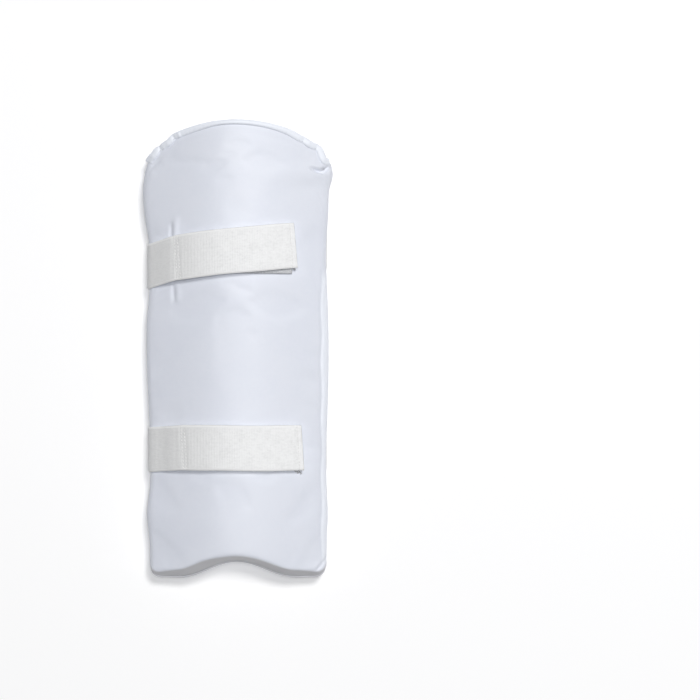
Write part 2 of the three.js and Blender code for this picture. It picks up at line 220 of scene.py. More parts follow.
def arcFromMiddle(grid):
    steps = np.linalg.norm(np.diff(grid, axis=1), axis=2)
    arc = np.concatenate([np.zeros((grid.shape[0], 1)), np.cumsum(steps, axis=1)], axis=1)
    return arc - arc[:, grid.shape[1] // 2][:, None]


def closedShell(name, outer, inner):  # outer and inner are grids of points, one above the other
    rows, columns = outer.shape[:2]
    index = np.arange(rows * columns).reshape(rows, columns)
    below = index + rows * columns
    a, b, c, d = index[:-1, :-1], index[:-1, 1:], index[1:, 1:], index[1:, :-1]
    faces = np.stack([a, b, c, d], -1).reshape(-1, 4).tolist()
    faces += (np.stack([d, c, b, a], -1).reshape(-1, 4) + rows * columns).tolist()
    for top, low in ((index[0], below[0]), (index[-1][::-1], below[-1][::-1]),
                     (index[::-1, 0], below[::-1, 0]), (index[:, -1], below[:, -1])):
        faces += np.stack([top[1:], top[:-1], low[:-1], low[1:]], -1).tolist()
    points = np.concatenate([outer.reshape(-1, 3), inner.reshape(-1, 3)])
    volume = 0
    for face in faces:
        p = points[face]
        volume += np.dot(p[0], np.cross(p[1], p[2])) + np.dot(p[0], np.cross(p[2], p[3]))
    if volume < 0:
        faces = [face[::-1] for face in faces]
    uv = [np.stack([arcFromMiddle(grid), np.swapaxes(arcFromMiddle(np.swapaxes(grid, 0, 1)), 0, 1)], -1)
          for grid in (outer, inner)]
    return makeObject(name, points, faces, np.concatenate([part.reshape(-1, 2) for part in uv]))


def smoothed(obj):  # the subdivided mesh takes the place of the object's own
    modifier = obj.modifiers.new("Smooth", "SUBSURF")
    modifier.levels = modifier.render_levels = 1
    return madePlain(obj)


def madePlain(obj):  # new_from_object turns what the modifiers give into a plain mesh
    evaluated = obj.evaluated_get(bpy.context.evaluated_depsgraph_get())
    mesh = bpy.data.meshes.new_from_object(evaluated)
    obj.modifiers.clear()
    obj.data = mesh
    mesh.name = obj.name
    mesh.shade_smooth()
    return obj


def readPoints(mesh, field="co"):
    values = np.empty(len(mesh.vertices) * 3)
    source = mesh.vertices if field == "co" else mesh.vertex_normals
    source.foreach_get(field if field == "co" else "vector", values)
    return values.reshape(-1, 3)


def writePoints(mesh, points):
    mesh.vertices.foreach_set("co", points.ravel())
    mesh.update()


def inflate(obj, held, settings):  # cloth pressure swells what isn't held, and the cap keeps it small
    rest = readPoints(obj.data)
    group = obj.vertex_groups.new(name="held")
    group.add([int(i) for i in np.nonzero(held)[0]], 1, "REPLACE")
    cloth = obj.modifiers.new("Cloth", "CLOTH")
    cloth.point_cache.frame_start, cloth.point_cache.frame_end = 1, settings["frames"]
    values = cloth.settings
    values.quality = 6
    values.mass = settings["mass"]
    values.tension_stiffness = values.compression_stiffness = settings["stiffness"]
    values.bending_stiffness = settings["bending"]
    values.vertex_group_mass = "held"
    values.use_pressure = True
    values.uniform_pressure_force = settings["pressure"]
    values.shrink_min = -settings["slack"]
    values.effector_weights.gravity = 0
    cloth.collision_settings.use_collision = False
    for step in range(1, settings["frames"] + 1):
        scene.frame_set(step)
    evaluated = obj.evaluated_get(bpy.context.evaluated_depsgraph_get())
    moved = readPoints(evaluated.data) - rest
    obj.modifiers.clear()
    obj.vertex_groups.clear()
    scene.frame_set(1)
    far = np.linalg.norm(moved, axis=1)[:, None]
    cap = settings["cap"] * mm
    capped = moved * (cap * np.tanh(far / cap) / np.maximum(far, 1e-9))
    writePoints(obj.data, rest + capped)
    print("cloth on", obj.name, "moved", round(float(far.max()) / mm, 2), "mm, capped at", settings["cap"])


def pressFolds(obj, folds, facing):  # facing is 1 for the outer face and -1 for the inner one
    mesh = obj.data
    points, normals = readPoints(mesh) / mm, readPoints(mesh, "normal")
    shift = np.zeros(len(points))
    for fold in folds:
        start, end = np.array(fold["start"], float), np.array(fold["end"], float)
        run = end - start
        length = np.hypot(*run)
        t = ((points[:, :2] - start) @ run) / length**2
        inside = np.clip(t, 0, 1)
        bow = fold.get("bow", 0) * 4 * inside * (1 - inside)
        wave = fold.get("wave", 0) * np.sin(inside * length / 5 + 1)
        side = np.array([-run[1], run[0]]) / length
        away = (points[:, :2] - start) @ side - bow - wave
        past = np.abs(t - inside) * length
        fade = 1 - fold.get("fade", 0.6) * np.abs(2 * inside - 1) ** 3
        fade *= np.exp(-(past / fold["width"]) ** 2)
        shift -= fold["depth"] * np.exp(-(away / fold["width"]) ** 2) * fade
        puffWidth = fold["width"] * 1.7
        shift += fold.get("left", 0) * np.exp(-((away - 2 * fold["width"]) / puffWidth) ** 2) * fade
        shift += fold.get("right", 0) * np.exp(-((away + 2 * fold["width"]) / puffWidth) ** 2) * fade
    shift *= smooth((normals[:, 2] * facing + 0.35) / 0.5)
    writePoints(mesh, (points + normals * shift[:, None]) * mm)


def softWaves(obj, size, height, offset):  # slow unevenness of foam under a knit
    mesh = obj.data
    points, normals = readPoints(mesh) / mm, readPoints(mesh, "normal")
    x, y = points[:, 0] / size, points[:, 1] / size
    wave = np.sin(x * 1.3 + offset) * np.cos(y * 0.9 - offset) + 0.6 * np.sin(x * 2.1 - y * 1.7 + 2 * offset)
    wave += 0.4 * np.sin(x * 0.7 + y * 2.9 - offset)
    writePoints(mesh, (points + normals * (height * wave / 2)[:, None]) * mm)


def paint(obj, name, values):  # a share for each vertex, read by the material
    layer = obj.data.attributes.new(name, "FLOAT", "POINT")
    layer.data.foreach_set("value", np.clip(values, 0, 1).astype(np.float32))


# materials
class Wire:  # one socket, so that shader maths reads as an expression
    def __init__(self, finish, socket):
        self.finish = finish
        self.socket = socket

    def maths(self, operation, *others):
        values = {i: other for i, other in enumerate((self, *others))}
        return self.finish.node("ShaderNodeMath", {"operation": operation}, values)

    def __add__(self, other):
        return self.maths("ADD", other)

    def __mul__(self, other):
        return self.maths("MULTIPLY", other)

    def __sub__(self, other):
        return self.maths("SUBTRACT", other)

    def __rsub__(self, other):
        return self.finish.node("ShaderNodeMath", {"operation": "SUBTRACT"}, {0: other, 1: self})

    def __truediv__(self, other):
        return self.maths("DIVIDE", other)

    def __pow__(self, other):
        return self.maths("POWER", other)

    def __abs__(self):
        return self.maths("ABSOLUTE")

    __radd__ = __add__
    __rmul__ = __mul__


class Graph:  # a node tree whose nodes all come from one method
    def __init__(self, tree):
        self.tree = tree

    def node(self, kind, settings=None, values=None, out=0):
        made = self.tree.nodes.new(kind)
        for key, value in (settings or {}).items():
            if key == "stops":
                for i, (place, colour) in enumerate(value):
                    stop = made.color_ramp.elements[i] if i < 2 else made.color_ramp.elements.new(place)
                    stop.position, stop.color = place, (*colour, 1)
            else:
                setattr(made, key, value)
        for key, value in (values or {}).items():
            self.feed(made.inputs[key], value)
        return Wire(self, made.outputs[out])

    def feed(self, socket, value):
        if isinstance(value, Wire):
            self.tree.links.new(value.socket, socket)
        else:
            socket.default_value = value


class Finish(Graph):  # a material
    def __init__(self, name, constants):
        self.material = bpy.data.materials.new(name)
        self.material.use_nodes = True
        super().__init__(self.material.node_tree)
        self.shader = next(n for n in self.tree.nodes if n.type == "BSDF_PRINCIPLED")
        for socket, value in constants.items():
            self.shader.inputs[socket].default_value = value

    def sine(self, value):
        return value.maths("SINE")

    def split(self, vector):
        parts = self.node("ShaderNodeSeparateXYZ", values={0: vector})
        outputs = parts.socket.node.outputs
        return [Wire(self, outputs[i]) for i in range(3)]

    def cloth(self):  # millimetres across and along the cloth
        return self.split(self.node("ShaderNodeUVMap", {"uv_map": "cloth"}))

    def place(self):
        return self.node("ShaderNodeTexCoord", out=3)

    def painted(self, name):
        return self.node("ShaderNodeAttribute", {"attribute_name": name}, out=2)

    def noise(self, where, scale, detail=3.0, roughness=0.55, stretch=None):
        if stretch:
            where = self.node("ShaderNodeMapping", values={"Vector": where, "Scale": stretch})
        return self.node("ShaderNodeTexNoise", values={"Vector": where, "Scale": scale, "Detail": detail,
                                                        "Roughness": roughness})

    def tint(self, factor, low, high):
        mix = self.tree.nodes.new("ShaderNodeMix")
        mix.data_type = "RGBA"
        self.feed(mix.inputs[0], factor)
        self.feed(mix.inputs[6], low if isinstance(low, Wire) else (*low, 1))
        self.feed(mix.inputs[7], high if isinstance(high, Wire) else (*high, 1))
        return Wire(self, mix.outputs[2])

    def within(self, value, low, high):  # 0 to 1 between the two
        return self.node("ShaderNodeMapRange", {"interpolation_type": "SMOOTHSTEP"},
                         {"Value": value, "From Min": low, "From Max": high})

    def bump(self, height, distance, strength=1.0, under=None):
        values = {"Strength": strength, "Distance": distance * mm, "Height": height}
        if under is not None:
            values["Normal"] = under
        return self.node("ShaderNodeBump", values=values)

    def done(self, colour, roughness, normal):
        self.feed(self.shader.inputs["Base Color"], colour)
        self.feed(self.shader.inputs["Roughness"], roughness)
        self.feed(self.shader.inputs["Normal"], normal)
        return self.material


def knitHeight(finish, wale, course):  # two slanting legs to each wale
    u, v = finish.cloth()[:2]
    across = (u / wale).maths("FRACT")
    leg = abs(across - 0.5) * 2
    ridge = finish.sine(leg * math.pi)
    loops = finish.sine((v / course + leg * 0.5) * (2 * math.pi))
    return ridge * (loops * 0.3 + 0.7)


def stainMask(finish, centre, reach, turn):  # a soft mark round a place, broken up by noise
    where = finish.node("ShaderNodeMapping", {"vector_type": "TEXTURE"}, {
        "Vector": finish.place(), "Location": (centre[0] * mm, centre[1] * mm, 0),
        "Rotation": (0, 0, math.radians(turn)), "Scale": (reach[0] * mm, reach[1] * mm, 1)})
    x, y = finish.split(where)[:2]
    fromCentre = (x * x + y * y) ** 0.5
    broken = finish.noise(finish.place(), 900, 4.0)
    return finish.within(fromCentre + broken * 0.9, 1.3, 0.5)


knit = {
    "colour": (0.80, 0.828, 0.9), "shade": (0.78, 0.81, 0.888), "roughness": 0.42,
    "wale": 0.62, "course": 0.5, "relief": 0.05, "paintedWristShade": (0.52, 0.51, 0.515), "paintedHighlight": (0.9, 0.935, 1.0),
}


def sleeveKnit(name, stains=()):
    finish = Finish(name, {"Sheen Weight": 0.05, "Sheen Roughness": 0.5, "Specular IOR Level": 0.5})
    slow = finish.noise(finish.place(), 34, 3.0)
    fine = finish.noise(finish.place(), 420, 2.0)
    height = knitHeight(finish, knit["wale"], knit["course"])
    mottled = finish.within(slow * 0.7 + fine * 0.3, 0.36, 0.62)
    colour = finish.tint(mottled, knit["shade"], knit["colour"])
    # painted shade: darker in the low places between the knit's legs
    colour = finish.tint((1 - height) * 0.12, colour, (0.62, 0.65, 0.74))
    # painted highlight: paler where the cover's right side and the hem's fold turn towards the light
    colour = finish.tint(finish.painted("paintedHighlight") * 0.8, colour, knit["paintedHighlight"])
    # painted shade: greyer at the wrist end, which faces away from the light
    colour = finish.tint(finish.painted("paintedWristShade") * 0.75, colour, knit["paintedWristShade"])
    for stain in stains:
        mask = stainMask(finish, stain["centre"], stain["reach"], stain["turn"])
        colour = finish.tint(mask * stain["strength"], colour, stain["colour"])
    normal = finish.bump(height, knit["relief"], 0.6)
    normal = finish.bump(slow, 0.5, 0.35, normal)
    return finish.done(colour, fine * 0.1 + (knit["roughness"] - 0.05), normal)


elastic = {
    "colour": (0.95, 0.955, 0.955), "shade": (0.84, 0.845, 0.845), "stretchedAndShaded": (0.66, 0.665, 0.66),
    "edge": (0.97, 0.972, 0.965), "rib": 0.85, "yarn": 0.7, "relief": 0.16, "roughness": 0.9, "width": 25,
}


def elasticWeave(name, stitchAt):  # the elastic is greyer over the left shoulder: partly its thin stretched layer, partly painted shade where it turns away from the light
    finish = Finish(name, {"Sheen Weight": 0.2, "Sheen Roughness": 0.6, "Specular IOR Level": 0.2})
    width, along = finish.cloth()[:2]
    wobble = finish.noise(finish.node("ShaderNodeUVMap", {"uv_map": "cloth"}), 0.5, 2.0)
    rib = finish.sine((along + wobble * 0.5) * (2 * math.pi / elastic["rib"])) * 0.5 + 0.5
    yarn = finish.sine(width * (2 * math.pi / elastic["yarn"])) * 0.5 + 0.5
    edge = finish.within(abs(width), elastic["width"] / 2 - 1.5, elastic["width"] / 2 - 0.9)
    weave = rib * 0.6 + rib * yarn * 0.4
    sheet = finish.node("ShaderNodeUVMap", {"uv_map": "cloth"})
    heather = finish.noise(sheet, 0.9, 4.0, 0.7, (1, 0.45, 1))
    blotch = finish.noise(finish.place(), 170, 3.0)
    tone = finish.within(heather * 0.6 + weave * 0.12 + blotch * 0.28, 0.3, 0.6)
    colour = finish.tint(tone, elastic["shade"], elastic["colour"])
    # greyer over the left shoulder: partly the stretched elastic, partly painted shade
    stretchedAndShaded = finish.within(along, stitchAt - 60, stitchAt - 30)
    relaxed = finish.within(along, stitchAt - 3, stitchAt + 30)
    colour = finish.tint(stretchedAndShaded * (1 - relaxed) * 0.45, colour, elastic["stretchedAndShaded"])
    colour = finish.tint(edge * 0.6, colour, elastic["edge"])
    normal = finish.bump(weave * (1 - edge) + edge * yarn, elastic["relief"], 0.75)
    normal = finish.bump(heather, 0.25, 0.5, normal)
    return finish.done(colour, heather * 0.08 + (elastic["roughness"] - 0.05), normal)


def tapePile(name, colour, shade, scale, relief, roughness):  # rows of hooks, or matted loops
    finish = Finish(name, {"Specular IOR Level": 0.3})
    cells = finish.node("ShaderNodeTexVoronoi", values={
        "Vector": finish.node("ShaderNodeUVMap", {"uv_map": "cloth"}), "Scale": scale})
    fuzz = finish.noise(finish.place(), 1500, 4.0, 0.7)
    tone = finish.within(cells * 0.6 + fuzz * 0.5, 0.2, 0.7)
    normal = finish.bump((1 - cells) * 0.6 + fuzz * 0.4, relief, 0.9)
    return finish.done(finish.tint(tone, colour, shade), fuzz * 0.1 + (roughness - 0.05), normal)


def threadFinish(name, colour):
    finish = Finish(name, {"Specular IOR Level": 0.35})
    twist = finish.noise(finish.place(), 2600, 2.0)
    shade = tuple(channel * 0.86 for channel in colour)
    tone = finish.tint(finish.within(twist, 0.35, 0.6), shade, colour)
    return finish.done(tone, twist * 0.1 + 0.6, finish.bump(twist, 0.05, 0.6))


stains = [
    {"centre": (14.5, 8.6), "reach": (6.5, 1.6), "turn": -16, "strength": 0.3, "colour": (0.62, 0.52, 0.42)},
    {"centre": (-12.8, 8.8), "reach": (1.6, 1.2), "turn": 0, "strength": 0.4, "colour": (0.5, 0.5, 0.54)},
    {"centre": (-15.6, 7.0), "reach": (2.4, 0.9), "turn": 30, "strength": 0.35, "colour": (0.5, 0.5, 0.54)},
]
frontKnit = sleeveKnit("frontKnit")
backKnit = sleeveKnit("backKnit", stains)
hemKnit = sleeveKnit("hemKnit")
hookTape = tapePile("hookTape", (0.8, 0.81, 0.8), (0.6, 0.61, 0.6), 0.75, 0.4, 0.55)
loopTape = tapePile("loopTape", (0.76, 0.77, 0.78), (0.58, 0.59, 0.61), 1.6, 0.5, 0.95)
whiteThread = threadFinish("whiteThread", (0.9, 0.9, 0.89))
shadeThread = threadFinish("shadeThread", (0.76, 0.78, 0.84))
greyThread = threadFinish("greyThread", (0.46, 0.46, 0.46))
print("materials made")


# the padded covers
frontPad = {
    "across": 57, "step": 2.2, "fill": 0.85,
    "cloth": {"frames": 20, "pressure": 1.2, "mass": 0.3, "stiffness": 30, "bending": 6, "slack": 0.003,
              "cap": 0.22},
    "waves": {"size": 17, "height": 0.06, "offset": 0.7},
}

# creases on the outer face, in millimetres: depth of the crease and how far the cloth puffs up beside it
frontFolds = [
    {"start": (42.0, 100.4), "end": (51.0, 102.2), "bow": -2.1, "width": 1.1, "depth": 2.4, "left": 0.4,
     "right": 0.3},
    {"start": (-36.5, 60.0), "end": (-36.2, 70.0), "width": 0.9, "depth": 0.9, "fade": 0.9},
    {"start": (-34.3, 59.0), "end": (-33.4, 74.0), "width": 1.8, "depth": -0.8, "fade": 1.0},
    {"start": (-35.2, 37.0), "end": (-34.6, 25.5), "width": 1.1, "depth": 0.8, "left": 0.4, "fade": 1.0},
    {"start": (46.5, 43.0), "end": (46.9, -118.0), "wave": 0.35, "width": 0.8, "depth": 0.5, "left": 0.15},
    {"start": (50.4, -114.5), "end": (43.6, -122.5), "bow": 0.5, "width": 0.75, "depth": 0.7, "left": 0.15,
     "right": 0.2},
    {"start": (-50.0, 98.0), "end": (-42.0, 106.0), "bow": 1.0, "width": 1.3, "depth": 0.5, "right": 0.3},
    {"start": (-48.0, 99.0), "end": (-41.0, 104.5), "width": 2.6, "depth": 0.5, "fade": 0.9},
    {"start": (-51.5, 60.0), "end": (-44.0, 66.0), "width": 2.4, "depth": 0.45, "fade": 0.9},
    {"start": (-51.0, -62.0), "end": (-43.0, -68.0), "width": 2.2, "depth": 0.4, "fade": 0.9},
]
backPad = {
    "across": 53, "step": 2.6, "fill": 0.8,
    "cloth": {"frames": 20, "pressure": 1.0, "mass": 0.3, "stiffness": 30, "bending": 6, "slack": 0.003,
              "cap": 0.25},
    "waves": {"size": 15, "height": 0.08, "offset": 2.3},
}
backFolds = [
    {"start": (47.9, 99.0), "end": (46.6, -114.0), "wave": 0.25, "width": 0.8, "depth": 0.5, "left": 0.1},
    {"start": (-47.7, 98.0), "end": (-46.4, -114.0), "wave": 0.25, "width": 0.8, "depth": 0.45, "left": 0.1},
    {"start": (50.5, 101.0), "end": (42.0, 111.0), "bow": 1.2, "width": 1.3, "depth": 1.1, "right": 0.5},
    {"start": (41.0, 117.5), "end": (38.5, 109.5), "width": 1.4, "depth": 0.7, "left": 0.3, "fade": 1.0},
    {"start": (-27.5, 121.5), "end": (-29.0, 114.0), "width": 1.4, "depth": 0.7, "right": 0.3, "fade": 1.0},
    {"start": (-49.5, 103.0), "end": (-40.5, 110.5), "bow": -1.0, "width": 1.4, "depth": 0.9, "right": 0.5},
    {"start": (49.0, -116.5), "end": (41.5, -123.5), "bow": -1.0, "width": 1.1, "depth": 0.4},
    {"start": (-48.5, -117.0), "end": (-41.5, -123.5), "bow": 1.0, "width": 1.1, "depth": 0.3},
]


def panelPlaces(count):  # closer together at the sides
    t = np.linspace(-1, 1, count)
    return 0.5 * t + 0.5 * np.sin(t * math.pi / 2)


def panelShares(radius, step):  # closer together at both ends
    start = radius * np.array([0, 0.12, 0.35, 0.65, 1, 1.6]) / guard["length"]
    end = 1 - guard["elbowTaperLength"] / guard["length"]
    near = end - 20 / guard["length"]
    middle = np.linspace(start[-1], near, int((near - start[-1]) * guard["length"] / step))
    return np.concatenate([start, middle[1:], np.linspace(near, end, 16)[1:], np.linspace(end, 1, 11)[1:]])


def panelGrid(places, shares, wristLine, face):
    u = np.broadcast_to(places, (len(shares), len(places)))
    wrist = wristLine(u)
    y = wrist + (elbowEdge(u) - wrist) * shares[:, None]
    return u, np.stack([acrossX(u, y), y, face(u, y)], -1)


# where the covers are held while they swell: shares of the half width, and millimetres from what is named
hold = {"side": 0.955, "strapOnBack": 0.66, "besideStrap": 1.5, "elbow": 7, "wrist": 5, "floor": 0.4}

# a painted highlight along the right side of the outer face, where it turns towards the light, and painted
# shade on the wrist end, which faces away from it
paintedHighlightStrip = {"side": 46.4, "sway": 0.35, "pitch": 5, "blend": 0.7, "top": 46, "topBlend": 8, "low": -122,
             "lowBlend": 5}
paintedWristShadeEdge = {"full": 1.2, "blend": 1.6}


def underStrap(u, y, front):  # true where a strap holds the cover down
    held = np.zeros(u.shape, bool)
    for strap in straps.values():
        if front:
            line, reach = strapOnFront(strap, u) * guard["length"], u < strap["tipAcross"]
        else:
            line = guard["length"] * np.where(u < 0, strap["leftLip"], strap["rightLip"])
            reach = np.abs(u) > hold["strapOnBack"]
        held |= reach & (np.abs(y - line) < guard["strapWidth"] / 2 + hold["besideStrap"])
    return held


def strapOnFront(strap, u):
    across = [-1, strap["stitchAcross"], 0, strap["tipAcross"], 1]
    return np.interp(u, across, [strap[key] for key in ("leftSeam", "stitch", "crest", "tip", "tip")])


def padCover(name, pad, outerSide, innerSide, radius, folds, facing, finish):
    places, shares = panelPlaces(pad["across"]), panelShares(radius, pad["step"])
    u, outer = panelGrid(places, shares, *outerSide)
    inner = panelGrid(places, shares, *innerSide)[1]
    cover = closedShell(name, outer, inner)
    y, z = outer[..., 1], outer[..., 2]
    held = underStrap(u, y, facing > 0) | (np.abs(u) > hold["side"]) | (z < hold["floor"])
    held |= (y > elbowEdge(u) - hold["elbow"]) | (y < wristEdge(u) + hold["wrist"])
    held = np.concatenate([held.ravel(), np.ones(held.size, bool)])
    inflate(cover, held, pad["cloth"])
    smoothed(cover)
    softWaves(cover, **pad["waves"])
    pressFolds(cover, folds, facing)
    x, y = (readPoints(cover.data) / mm).T[:2]
    # painted shade on the wrist end face
    fromWrist = y - outerSide[0](np.clip(shareAcross(x, y), -1, 1))
    paint(cover, "paintedWristShade", smooth(paintedWristShadeEdge["full"] - fromWrist / paintedWristShadeEdge["blend"]))
    # painted highlight: a paler strip along the right side of the outer face
    beside = x - paintedHighlightStrip["side"] - paintedHighlightStrip["sway"] * np.sin(y / paintedHighlightStrip["pitch"])
    paintedHighlight = smooth(beside / paintedHighlightStrip["blend"]) * smooth((paintedHighlightStrip["top"] - y) / paintedHighlightStrip["topBlend"])
    paintedHighlight *= smooth((y - paintedHighlightStrip["low"]) / paintedHighlightStrip["lowBlend"])
    paint(cover, "paintedHighlight", paintedHighlight * (facing > 0))
    cover.data.materials.clear()
    cover.data.materials.append(finish)
    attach(cover, "root")
    print(name, "made,", len(cover.data.polygons), "faces")
    return cover


frontCover = padCover("frontCover", frontPad, (frontWrist, frontFace), (liningWrist, frontLining),
                      guard["wristRoundFront"], frontFolds, 1, frontKnit)
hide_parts("front_panel")
backCover = padCover("backCover", backPad, (wristEdge, backFace),
                     (wristEdge, lambda u, y: frontLining(u, y) - 0.1),
                     guard["wristRoundBack"], backFolds, -1, backKnit)
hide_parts("back_panel")


# the hem over the elbow end
hem = {
    "frontLeg": 1.3, "frontFlare": 0.9, "backLeg": 3.0, "wall": 1.2, "crown": 1.7, "inset": 0.8, "rings": 181,
    "pucker": 0.045, "puckerPitch": 2.6, "seam": 0.62, "seamRow": 0.62, "sewnTo": 0.86, "arcRatio": 1.1,
}

# bulges and tucks of the band: place across, width there, and the share added to its thickness
hemLumps = [(-0.64, 0.015, 0.4), (-0.7, 0.014, -0.6), (-0.77, 0.035, 0.35), (-0.85, 0.016, -0.8),
            (-0.93, 0.03, 0.3), (0.72, 0.02, -0.4), (0.78, 0.02, 0.3), (0.86, 0.018, -0.5), (0.93, 0.02, 0.3)]


def edgeFrame(u):  # the elbow edge in plan, and its outward direction
    def at(place):
        return np.stack([acrossX(place, elbowEdge(place)), elbowEdge(place)], -1)
    run = at(np.minimum(u + 0.004, 1)) - at(np.maximum(u - 0.004, -1))
    run /= np.linalg.norm(run, axis=-1)[..., None]
    return at(u), np.stack([-run[..., 1], run[..., 0]], -1)


def hemPoint(u, past, face, off):
    spot, out = edgeFrame(u)
    over = spot + out * np.minimum(past, 0)[..., None]
    place = spot + out * past[..., None]
    height = face(shareAcross(over[:, 0], over[:, 1]), over[:, 1]) + off
    return np.stack([place[:, 0], place[:, 1], height], -1)


def hemLegs(u, lumps=0):  # how far the band reaches over the front, 1, and the back, -1
    arc = u * guard["halfWidth"] * hem["arcRatio"]
    flare = hem["frontFlare"] * smooth((np.abs(u) - 0.15) / 0.5)
    return {1: (hem["frontLeg"] + flare) * (1 + 0.25 * lumps + 0.06 * np.sin(arc / 5)),
            -1: hem["backLeg"] * (1 + 0.15 * lumps + 0.05 * np.sin(arc / 6 + 1))}


def hemGrids():
    u = np.linspace(-1, 1, hem["rings"]) * (1 - hem["inset"] / guard["halfWidth"])
    one = np.ones_like(u)
    lumps = sum(size * np.exp(-((u - at) / wide) ** 2) for at, wide, size in hemLumps)
    arc = u * guard["halfWidth"] * hem["arcRatio"]
    ripple = np.sin(arc * 2 * math.pi / hem["puckerPitch"] + 1.5 * np.sin(arc / 7))
    flattened = 0.3 + 0.7 * smooth((1 - np.abs(u)) / 0.06)
    thick = hem["wall"] * (1 + lumps + hem["pucker"] * ripple) * flattened
    legs = hemLegs(u, lumps)
    faces = {1: frontFace, -1: backFace}
    # profile of the band: place along the leg or the crown, and the share of its thickness there
    leg = [(-1.08, -0.1), (-1.0, 0.24), (-0.86, 0.52), (-0.62, 0.8), (-0.25, 0.96)]
    turn = [(0.3, 0.95), (0.72, 0.6), (0.93, 0.15)]
    outer, inner = [], []
    for side in (1, -1):
        rings = [(legs[side] * place, share * thick) for place, share in leg]
        rings += [(place * hem["crown"] * one, share * thick) for place, share in turn]
        chain = [hemPoint(u, past, faces[side], side * off) for past, off in rings]
        core = [hemPoint(u, np.minimum(past, -0.5), faces[side], -side * 0.5 * one) for past, off in rings]
        outer.append(chain if side > 0 else chain[::-1])
        inner.append(core if side > 0 else core[::-1])
    top, bottom = outer[0][-1], outer[1][0]
    spot, out = edgeFrame(u)
    crown = []
    crownPlaces = (0.2, 0.4, 0.6, 0.8)
    for t in crownPlaces:
        past = hem["crown"] * (1 + 0.12 * lumps + 0.05 * ripple) + 0.25 * math.sin(math.pi * t)
        height = top[:, 2] + (bottom[:, 2] - top[:, 2]) * t
        crown.append(np.column_stack([spot + out * past[:, None], height]))
    coreTop, coreBottom = inner[0][-1], inner[1][0]
    coreCrown = [coreTop + (coreBottom - coreTop) * t for t in crownPlaces]
    return u, np.stack(outer[0] + crown + outer[1]), np.stack(inner[0] + coreCrown + inner[1])


hemPlaces, hemOuter, hemInner = hemGrids()
hemBand = closedShell("hemBand", hemOuter, hemInner)
smoothed(hemBand)
paint(hemBand, "paintedHighlight", smooth(readPoints(hemBand.data, "normal")[:, 2] + 0.6))  # painted highlight: the fold is paler where it faces up
hemBand.data.materials.append(hemKnit)
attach(hemBand, "root")
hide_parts("top_hem")
print("hem made")


# the straps and the tapes that fasten them
band = {
    "width": 25, "thickness": 1.3, "gap": 0.3, "tape": 1.1, "tapeWidth": 22, "climb": 15, "seat": 1.6,
    "sunkRight": 1.9, "sunkLeft": 0.8, "step": 0.8, "columns": 21, "edgeWave": 0.12, "pinch": 0.4,
    "loopStart": 6, "loopEnd": 0.4, "tapeInset": 1, "doubleRow": 1.9, "tipRow": 2.6, "rowInset": 1.2,
    "threadSunk": 0.22, "edgeRound": 1.1, "edgeThin": 0.4, "edgeLift": 0.18, "seamWidth": 0.8,
    "leanOver": 14, "wavePitch": 6.3,
    "sewnEnd": [(3.5, 0.6), (2.2, 0.5), (1.1, 0.3)],  # inside the side seam: how far in, and how high
    "shoulder": [-1, -0.992, -0.98, -0.965, -0.95, -0.92, -0.88, -0.84, -0.8, -0.75, -0.7],
}
acrossBand = np.linspace(-0.5, 0.5, 5) * band["width"]
overTapes = band["gap"] * 3 + band["tape"] * 2


def halfUnder(side, middle):  # the widest that the guard is under a strap's width
    return max(abs(float(acrossX(side, middle + w))) for w in acrossBand)


def frontUnder(u, middle):  # the highest that the front is under a strap's width
    return max(float(frontFace(np.float64(u), middle + w)) for w in acrossBand)


def flankPoint(side, middle, t):
    half = halfUnder(side, middle)
    lipX = (guard["lipCentre"] + guard["lipFlat"] / 2) / guard["halfWidth"] * half
    seam = guard["seamHeight"] - guard["seamWall"] - band["gap"]
    turn = math.pi / 2 * t
    z = band["seat"] + (seam - band["seat"]) * (1 - math.sin(turn))
    return side * (lipX + (half - lipX) * math.cos(turn)), middle, z


def frontPoint(strap, u, middle=None):
    middle = strapOnFront(strap, u) * guard["length"] if middle is None else middle
    return u * halfUnder(-1 if u < 0 else 1, middle), middle, frontUnder(u, middle)


def bandPath(points, offsets):  # evenly spaced centres, their outward directions and heights over the skin
    points, offsets = np.array(points), np.array(offsets)
    arc = np.concatenate([[0], np.cumsum(np.linalg.norm(np.diff(points, axis=0), axis=1))])
    places = np.arange(0, arc[-1], band["step"])
    centres = np.stack([np.interp(places, arc, points[:, i]) for i in range(3)], -1)
    kernel = np.exp(-np.linspace(-1.6, 1.6, 9) ** 2)
    kernel /= kernel.sum()
    run = np.gradient(centres[:, [0, 2]], axis=0)
    run = np.stack([np.convolve(np.pad(run[:, i], 4, mode="edge"), kernel, "valid") for i in range(2)], -1)
    run /= np.linalg.norm(run, axis=1)[:, None]
    outward = np.stack([-run[:, 1], np.zeros(len(run)), run[:, 0]], -1)
    return {"places": places, "centres": centres, "outward": outward,
            "offsets": np.interp(places, arc, offsets), "arc": arc}


def bandAt(path, s, width, off):  # the point over the path at arc s, moved across by width and out by off
    centre = np.stack([np.interp(s, path["places"], path["centres"][:, i]) for i in range(3)], -1)
    outward = np.stack([np.interp(s, path["places"], path["outward"][:, i]) for i in range(3)], -1)
    outward /= np.linalg.norm(outward, axis=-1)[..., None]
    height = np.interp(s, path["places"], path["offsets"]) + off
    point = centre + outward * height[..., None]
    point[..., 1] += width
    return point


